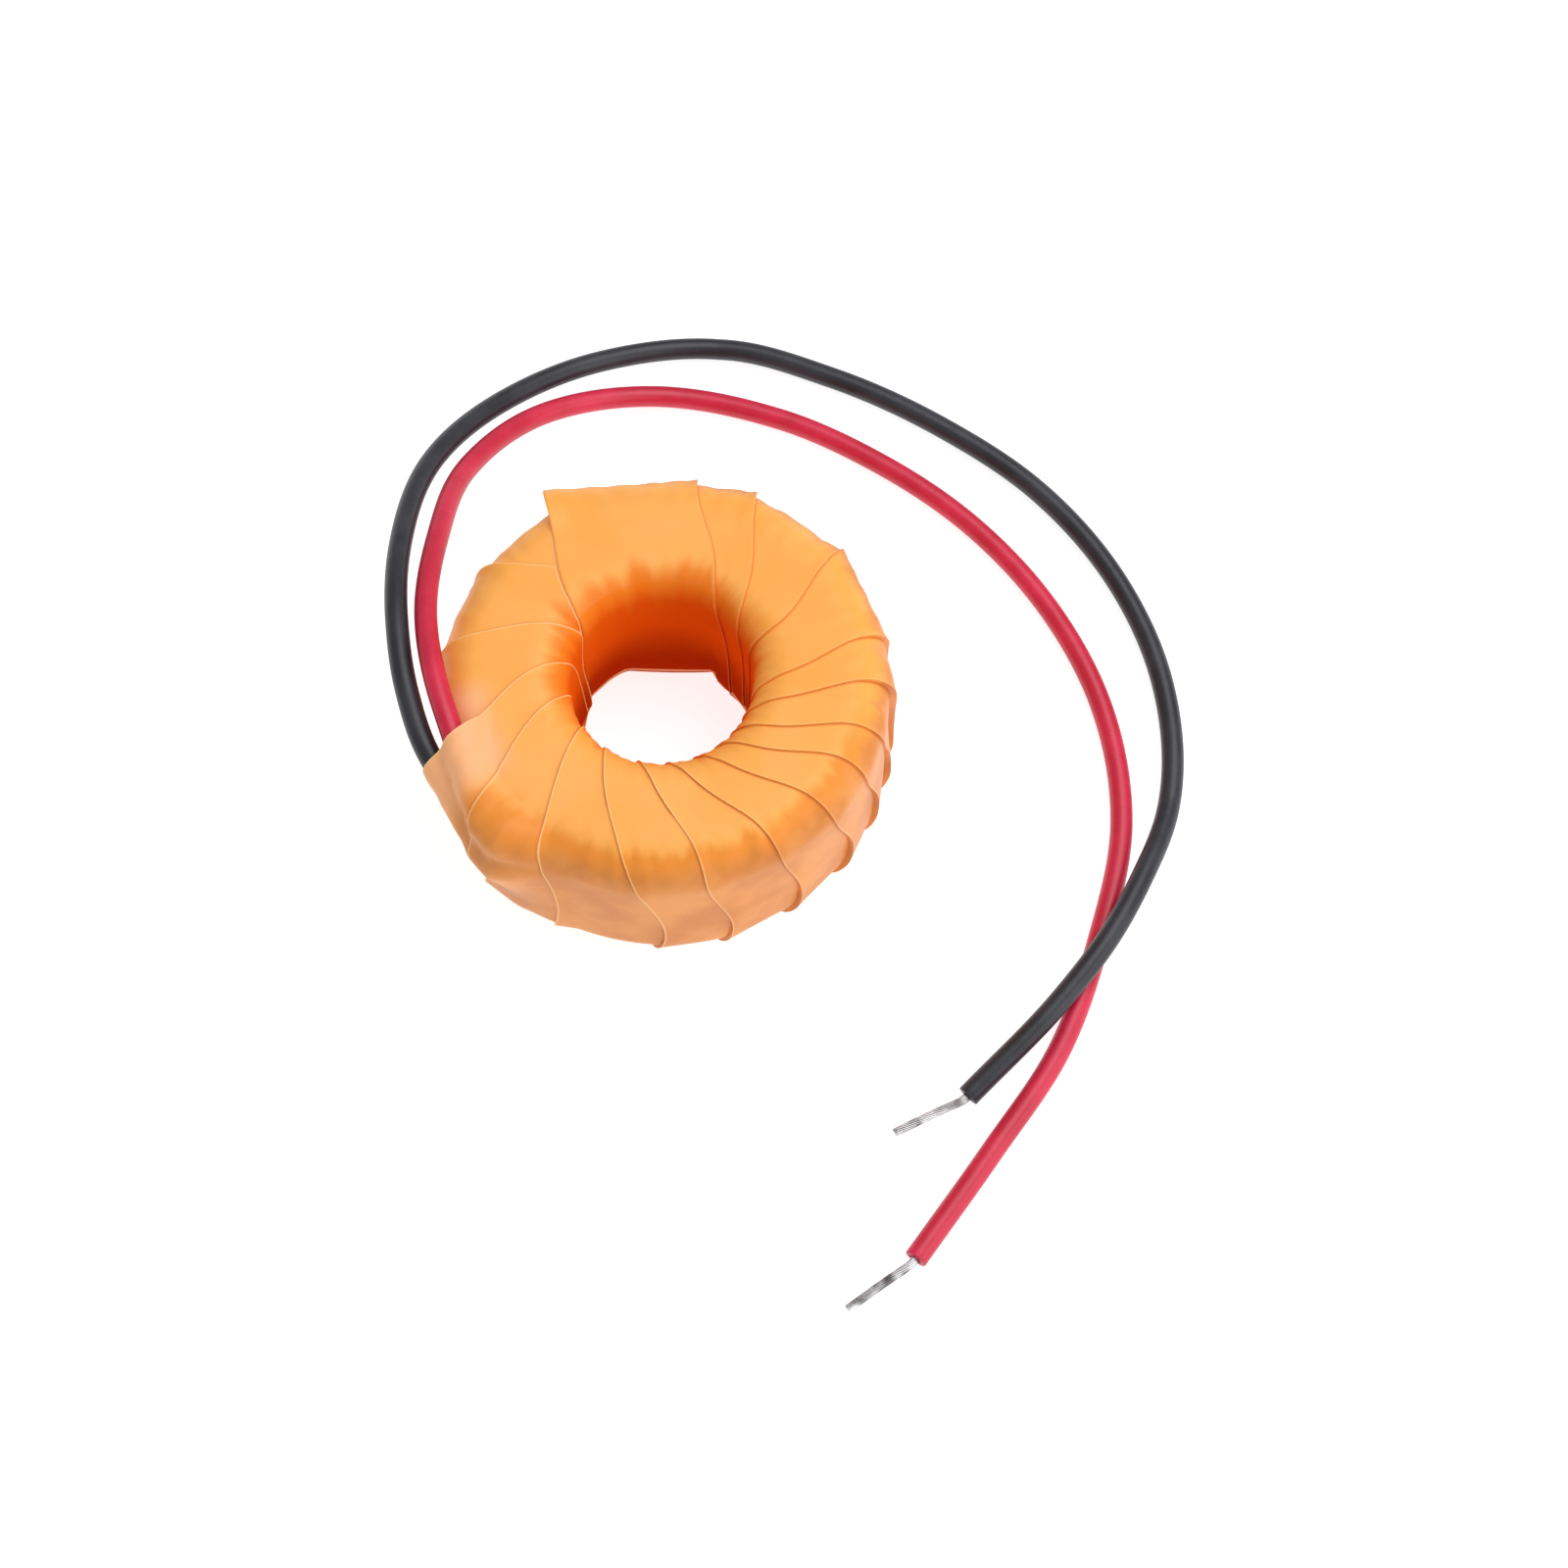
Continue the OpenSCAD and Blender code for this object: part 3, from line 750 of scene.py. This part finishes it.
def reliefTree():
    # the winding's turns and small wrinkles show through the tape
    tree, desk, given = newTree("tapeRelief", (
        ("Turn Count", "Float"), ("Turn Height", "Float"), ("Wrinkle Height", "Float"),
        ("Wrinkle Scale", "Float"), ("Seed", "Float"), ("Finish", "Material")))

    def stored(name, kind="FLOAT"):
        return desk.add("GeometryNodeInputNamedAttribute", {"Name": name},
                        data_type=kind).outputs["Attribute"]

    place, turn = stored("place"), stored("turn")
    here = desk.add("GeometryNodeInputPosition").outputs[0]
    drift = desk.noise({"Vector": here, "W": given["Seed"], "Scale": 330.0, "Detail": 1.0},
                       noise_dimensions="4D")
    phase = desk.math("ADD", desk.math("MULTIPLY", turn, given["Turn Count"]),
                      desk.math("MULTIPLY", drift, 9.0))
    wave = desk.math("ADD", desk.math("MULTIPLY", desk.math("SINE", phase), 0.5), -0.5)
    # the turns show at the two edges of the top
    outer = desk.math("MULTIPLY", desk.ramp(place, 2.75, 3.3), desk.ramp(place, 4.15, 3.7))
    inner = desk.math("MULTIPLY", desk.ramp(place, 0.7, 1.25), desk.ramp(place, 2.2, 1.7))
    band = desk.math("MAXIMUM", outer, desk.math("MULTIPLY", inner, 0.8))
    ridge = desk.math("MULTIPLY", desk.math("MULTIPLY", wave, band), given["Turn Height"])
    # the wrinkles end above the base
    folds = desk.noise({"Vector": here, "W": given["Seed"], "Detail": 2.0,
                        "Scale": given["Wrinkle Scale"]}, noise_dimensions="4D")
    above = desk.ramp(place, 5.6, 5.1)
    wrinkle = desk.math("MULTIPLY", desk.math("SUBTRACT", folds, 0.62),
                        desk.math("MULTIPLY", given["Wrinkle Height"], above))
    offset = desk.add("ShaderNodeVectorMath", {0: stored("outward", "FLOAT_VECTOR"),
                                               "Scale": desk.math("ADD", ridge, wrinkle)},
                      operation="SCALE")
    moved = desk.add("GeometryNodeSetPosition", {"Geometry": given["Geometry"],
                                                 "Offset": offset.outputs[0]})
    closeTree(desk, moved.outputs[0], given["Finish"])
    return tree


reliefSet = {
    "Turn Count": 48.0,
    "Turn Height": 0.08 * mm,
    "Wrinkle Height": 0.18 * mm,
    "Wrinkle Scale": 190.0,
    "Seed": 3.0,
}
# lit and litSoft are the film's own orange; brow, wall, wallSoft, mouth and foot are painted
# shade, window is the film's deeper orange with painted shade, shade is a painted shadow by each
# lap's edge, and the cut edge's pale line is partly a painted highlight
tapeColours = {
    "lit": rgb(255, 173, 80),
    "litSoft": rgb(255, 183, 101),
    "brow": rgb(240, 146, 56),
    "wall": rgb(218, 133, 58),
    "wallSoft": rgb(238, 157, 84),
    "mouth": rgb(246, 134, 40),
    "window": rgb(246, 108, 18),
    "foot": rgb(186, 54, 8),
    "cutEdgeHighlight": rgb(255, 206, 138),
    "shade": rgb(214, 116, 44),
    "peach": rgb(255, 184, 130),
}
# where each colour comes in: places along the section, or mm from a lap's edge
tapeBands = {
    "brow": (3.1, 3.34),
    "wall": (3.34, 3.7),
    "peach": (2.55, 3.1),
    "mouth": (2.0, 1.5),
    "window": (1.62, 0.85),
    "foot": (0.75, 0.1),
    "base": (6.9, 7.6),
    "shade": (0.24, 0.02),
    "cutEdgeHighlight": (0.16, 0.03),
}
# the side of the ring that a shade keeps to: its angle, then the cosines of the angles
# away from it where the shade begins and where it is full
tapeSides = {
    "lowBrow": (160, 0.3, 0.8),
    "brow": (275, 0.2, 0.6),
    "peach": (201, 0.945, 0.985),
    "mouth": (118, -0.3, 0.35),
    "edges": (10, -0.3, 0.5),
}
# teeth in a shade's edge: how close along the ring, and how deep
tapeTeeth = {
    "window": ((2.2, 0.7), (6.5, 0.45)),
    "brow": ((5.0, 0.2), (14.0, 0.24)),
}


def tapeMaterial(name, c, gloss, rough):
    mat, desk, shader, where = newMaterial(name)
    place, turn = desk.stored("place"), desk.stored("turn")

    def spikes(pace, size):
        noise = desk.noise({"W": desk.math("MULTIPLY", turn, pace), "Scale": 1.0, "Detail": 2.0},
                           noise_dimensions="1D")
        return desk.math("MULTIPLY", desk.math("SUBTRACT", noise, 0.5), size)

    def toothed(shade):
        wide, narrow = tapeTeeth[shade]
        return desk.math("ADD", place, desk.math("ADD", spikes(*wide), spikes(*narrow)))

    def side(shade):
        angle, begins, full = tapeSides[shade]
        near = desk.math("COSINE", desk.math("SUBTRACT", turn, math.radians(angle)))
        return desk.ramp(near, begins, full)

    def band(shade, along):
        return desk.ramp(along, *tapeBands[shade])

    cloud = desk.noise({"Vector": where, "Scale": 210.0, "Detail": 3.0})
    fine = desk.noise({"Vector": where, "Scale": 2600.0, "Detail": 3.0})
    soft = desk.ramp(cloud, 0.35, 0.7)
    # the window's deep orange is partly the film, more layers lying over each other there, and
    # partly painted shade inside the bore;
    # the turns below draw the edge of that painted shade, and of the brow's, into teeth
    down, over = toothed("window"), toothed("brow")
    over = desk.math("SUBTRACT", over, desk.math("MULTIPLY", side("lowBrow"), 0.3))
    colour = desk.tint(desk.math("MULTIPLY", soft, 0.5), c["lit"], c["litSoft"])
    # painted shade in a toothed band along the outer wall's top corner, on one side of the ring
    colour = desk.tint(desk.math("MULTIPLY", band("brow", over), side("brow")), colour,
                       c["brow"])
    # painted shade over the outer wall
    colour = desk.tint(band("wall", over), colour, desk.tint(soft, c["wall"], c["wallSoft"]))
    colour = desk.tint(desk.math("MULTIPLY", band("peach", place), side("peach")), colour,
                       c["peach"])
    # painted shade at the mouth of the window, on one side of the ring
    colour = desk.tint(desk.math("MULTIPLY", band("mouth", down), side("mouth")), colour,
                       c["mouth"])
    # the window's deeper orange, with its painted shade
    colour = desk.tint(band("window", down), colour, c["window"])
    # painted shade at the foot of the window wall and under the base
    colour = desk.tint(desk.math("MAXIMUM", band("foot", place), band("base", place)), colour,
                       c["foot"])
    # a fine light line at the cut edge, partly the film's paler cut edge and partly a painted
    # highlight, and a painted shadow where the lap below comes out; how strong each is changes
    # round the ring
    right = side("edges")
    deep = desk.math("ADD", desk.math("MULTIPLY", right, 0.2), 0.5)
    pale = desk.math("ADD", desk.math("MULTIPLY", right, -0.45), 0.75)
    colour = desk.tint(desk.math("MULTIPLY", band("shade", desk.stored("toEdge")), deep),
                       colour, c["shade"])
    colour = desk.tint(desk.math("MULTIPLY", band("cutEdgeHighlight", desk.stored("fromEdge")), pale),
                       colour, c["cutEdgeHighlight"])
    worn = desk.math("ADD", desk.math("MULTIPLY", fine, 0.12), desk.math("MULTIPLY", cloud, 0.16))
    height = desk.math("ADD", desk.math("MULTIPLY", fine, 0.3), cloud)
    worn = desk.math("ADD", worn, rough)
    dress(desk, shader, colour, worn, height, strength=0.25, depth=0.08)
    shader.inputs["Specular IOR Level"].default_value = gloss
    return mat


def cutLeadRooms(tape, s):
    # the leads run in under the flap through openings of their own
    for name, path in (("blackRoom", blackPath), ("redRoom", redPath)):
        line = path[:s["roomRings"]]
        first = line[0] + (line[0] - line[1]).normalized() * s["roomStart"]
        rings = [(*f, s["roomD"] / 2 * s["roomFit"]) for f in sweepFrames([first] + line)]
        room = sweptTube(name, rings, s["roomSides"])
        mod = tape.modifiers.new(name, "BOOLEAN")
        mod.operation = "DIFFERENCE"
        mod.solver = "EXACT"
        mod.object = room
        applied(tape)
        bpy.data.objects.remove(room)


orangeFilm = tapeMaterial("orangeFilm", tapeColours, gloss=0.2, rough=0.26)
windowFilm = tapeMaterial("windowFilm", tapeColours, gloss=0.0, rough=0.6)
tape = buildTape(tapeSet)
relief = tape.modifiers.new("relief", "NODES")
relief.node_group = reliefTree()
setInputs(relief, dict(reliefSet, Finish=orangeFilm))
tape = applied(tape)
tape.data.materials.append(windowFilm)
foot, base = tapeSet["mattPlaces"]
for face in tape.data.polygons:
    places = [tape.data.attributes["place"].data[v].value for v in face.vertices]
    if max(places) < foot or min(places) > base:
        face.material_index = 1
cutLeadRooms(tape, tapeSet)
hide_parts("outer_tape")
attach(tape, "root")
print("stage: tape", len(tape.data.polygons), "faces")


# material, light and dark colour, metallic, roughness and how fine the mottle is
insideFinishes = {
    "core": ("woundStrip", rgb(150, 154, 160), rgb(96, 98, 104), 0.9, 0.35, 2400.0),
    "core_wrap": ("coreWrap", rgb(226, 208, 156), rgb(204, 182, 126), 0.0, 0.6, 900.0),
    "winding": ("enamelledWire", rgb(196, 112, 58), rgb(140, 70, 32), 0.8, 0.3, 1500.0),
    "inner_tape": ("innerFilm", rgb(244, 176, 88), rgb(226, 146, 60), 0.0, 0.35, 500.0),
    "solder": ("solderJoint", rgb(176, 178, 180), rgb(120, 122, 126), 0.9, 0.45, 1800.0),
    "sleeve": ("jointSleeve", rgb(236, 232, 214), rgb(212, 206, 184), 0.0, 0.55, 700.0),
    "tail": ("wireEnd", rgb(196, 112, 58), rgb(140, 70, 32), 0.8, 0.3, 1500.0),
    "inner_strand": ("innerStrand", rgb(214, 214, 214), rgb(150, 148, 146), 1.0, 0.3, 1400.0),
}


def insideMaterial(name, light, dark, metallic, roughness, scale):
    mat, desk, shader, where = newMaterial(name)
    mottle = desk.noise({"Vector": where, "Scale": scale, "Detail": 4.0})
    rough = desk.math("ADD", desk.math("MULTIPLY", mottle, 0.2), roughness - 0.1)
    colour = desk.tint(desk.ramp(mottle, 0.35, 0.7), light, dark)
    dress(desk, shader, colour, rough, mottle, strength=0.2, depth=0.03)
    shader.inputs["Metallic"].default_value = metallic
    return mat


for key, finish in insideFinishes.items():
    made = insideMaterial(*finish)
    for name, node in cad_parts.items():
        if name == key or name.endswith("_" + key) and name not in insideFinishes:
            for holder in node.material_slots:
                holder.material = made
            if not node.material_slots:
                node.data.materials.append(made)
print("stage: inside pieces")


studioSet = {
    "floorSize": 3.0,  # metres
    "floorDrop": 0.02,  # mm under the base
    "floorGlow": 0.82,
    "floorGreys": ((0.5, 0.5, 0.5, 1), (0.54, 0.54, 0.54, 1)),
    "sky": 0.42,
    # name, power, size and place in metres; each looks at the middle of the ring
    "lights": (("keyBox", 1.75, 0.42, (0.16, 0.14, 0.5)),
               ("fillBox", 0.9, 0.4, (0.42, -0.2, 0.24))),
}


def buildStudio(s):
    half = s["floorSize"] / 2 / mm
    z = leadSet["floor"] - s["floorDrop"]
    floor = meshObject("paleFloor", [(-half, -half, z), (half, -half, z), (half, half, z),
                                     (-half, half, z)], [(0, 1, 2, 3)], smooth=False)
    mat, desk, shader, where = newMaterial("palePaper")
    soft = desk.noise({"Vector": where, "Scale": 40.0, "Detail": 2.0})
    desk.feed(desk.tint(soft, *s["floorGreys"]), shader.inputs["Base Color"])
    shader.inputs["Roughness"].default_value = 0.9
    shader.inputs["Specular IOR Level"].default_value = 0.0
    shader.inputs["Emission Color"].default_value = (1.0, 1.0, 1.0, 1.0)
    shader.inputs["Emission Strength"].default_value = s["floorGlow"]
    floor.data.materials.append(mat)

    world = bpy.data.worlds.new("studioSky")
    world.use_nodes = True
    back = world.node_tree.nodes["Background"]
    back.inputs["Color"].default_value = (1.0, 1.0, 1.0, 1.0)
    back.inputs["Strength"].default_value = s["sky"]
    bpy.context.scene.world = world

    for name, power, size, at in s["lights"]:
        data = bpy.data.lights.new(name, "AREA")
        data.energy = power
        data.size = size
        lamp = bpy.data.objects.new(name, data)
        lamp.location = at
        lamp.rotation_euler = (-Vector(at)).to_track_quat("-Z", "Y").to_euler()
        bpy.context.scene.collection.objects.link(lamp)


buildStudio(studioSet)
bpy.context.scene.view_settings.view_transform = "Standard"
print("stage: floor and light")
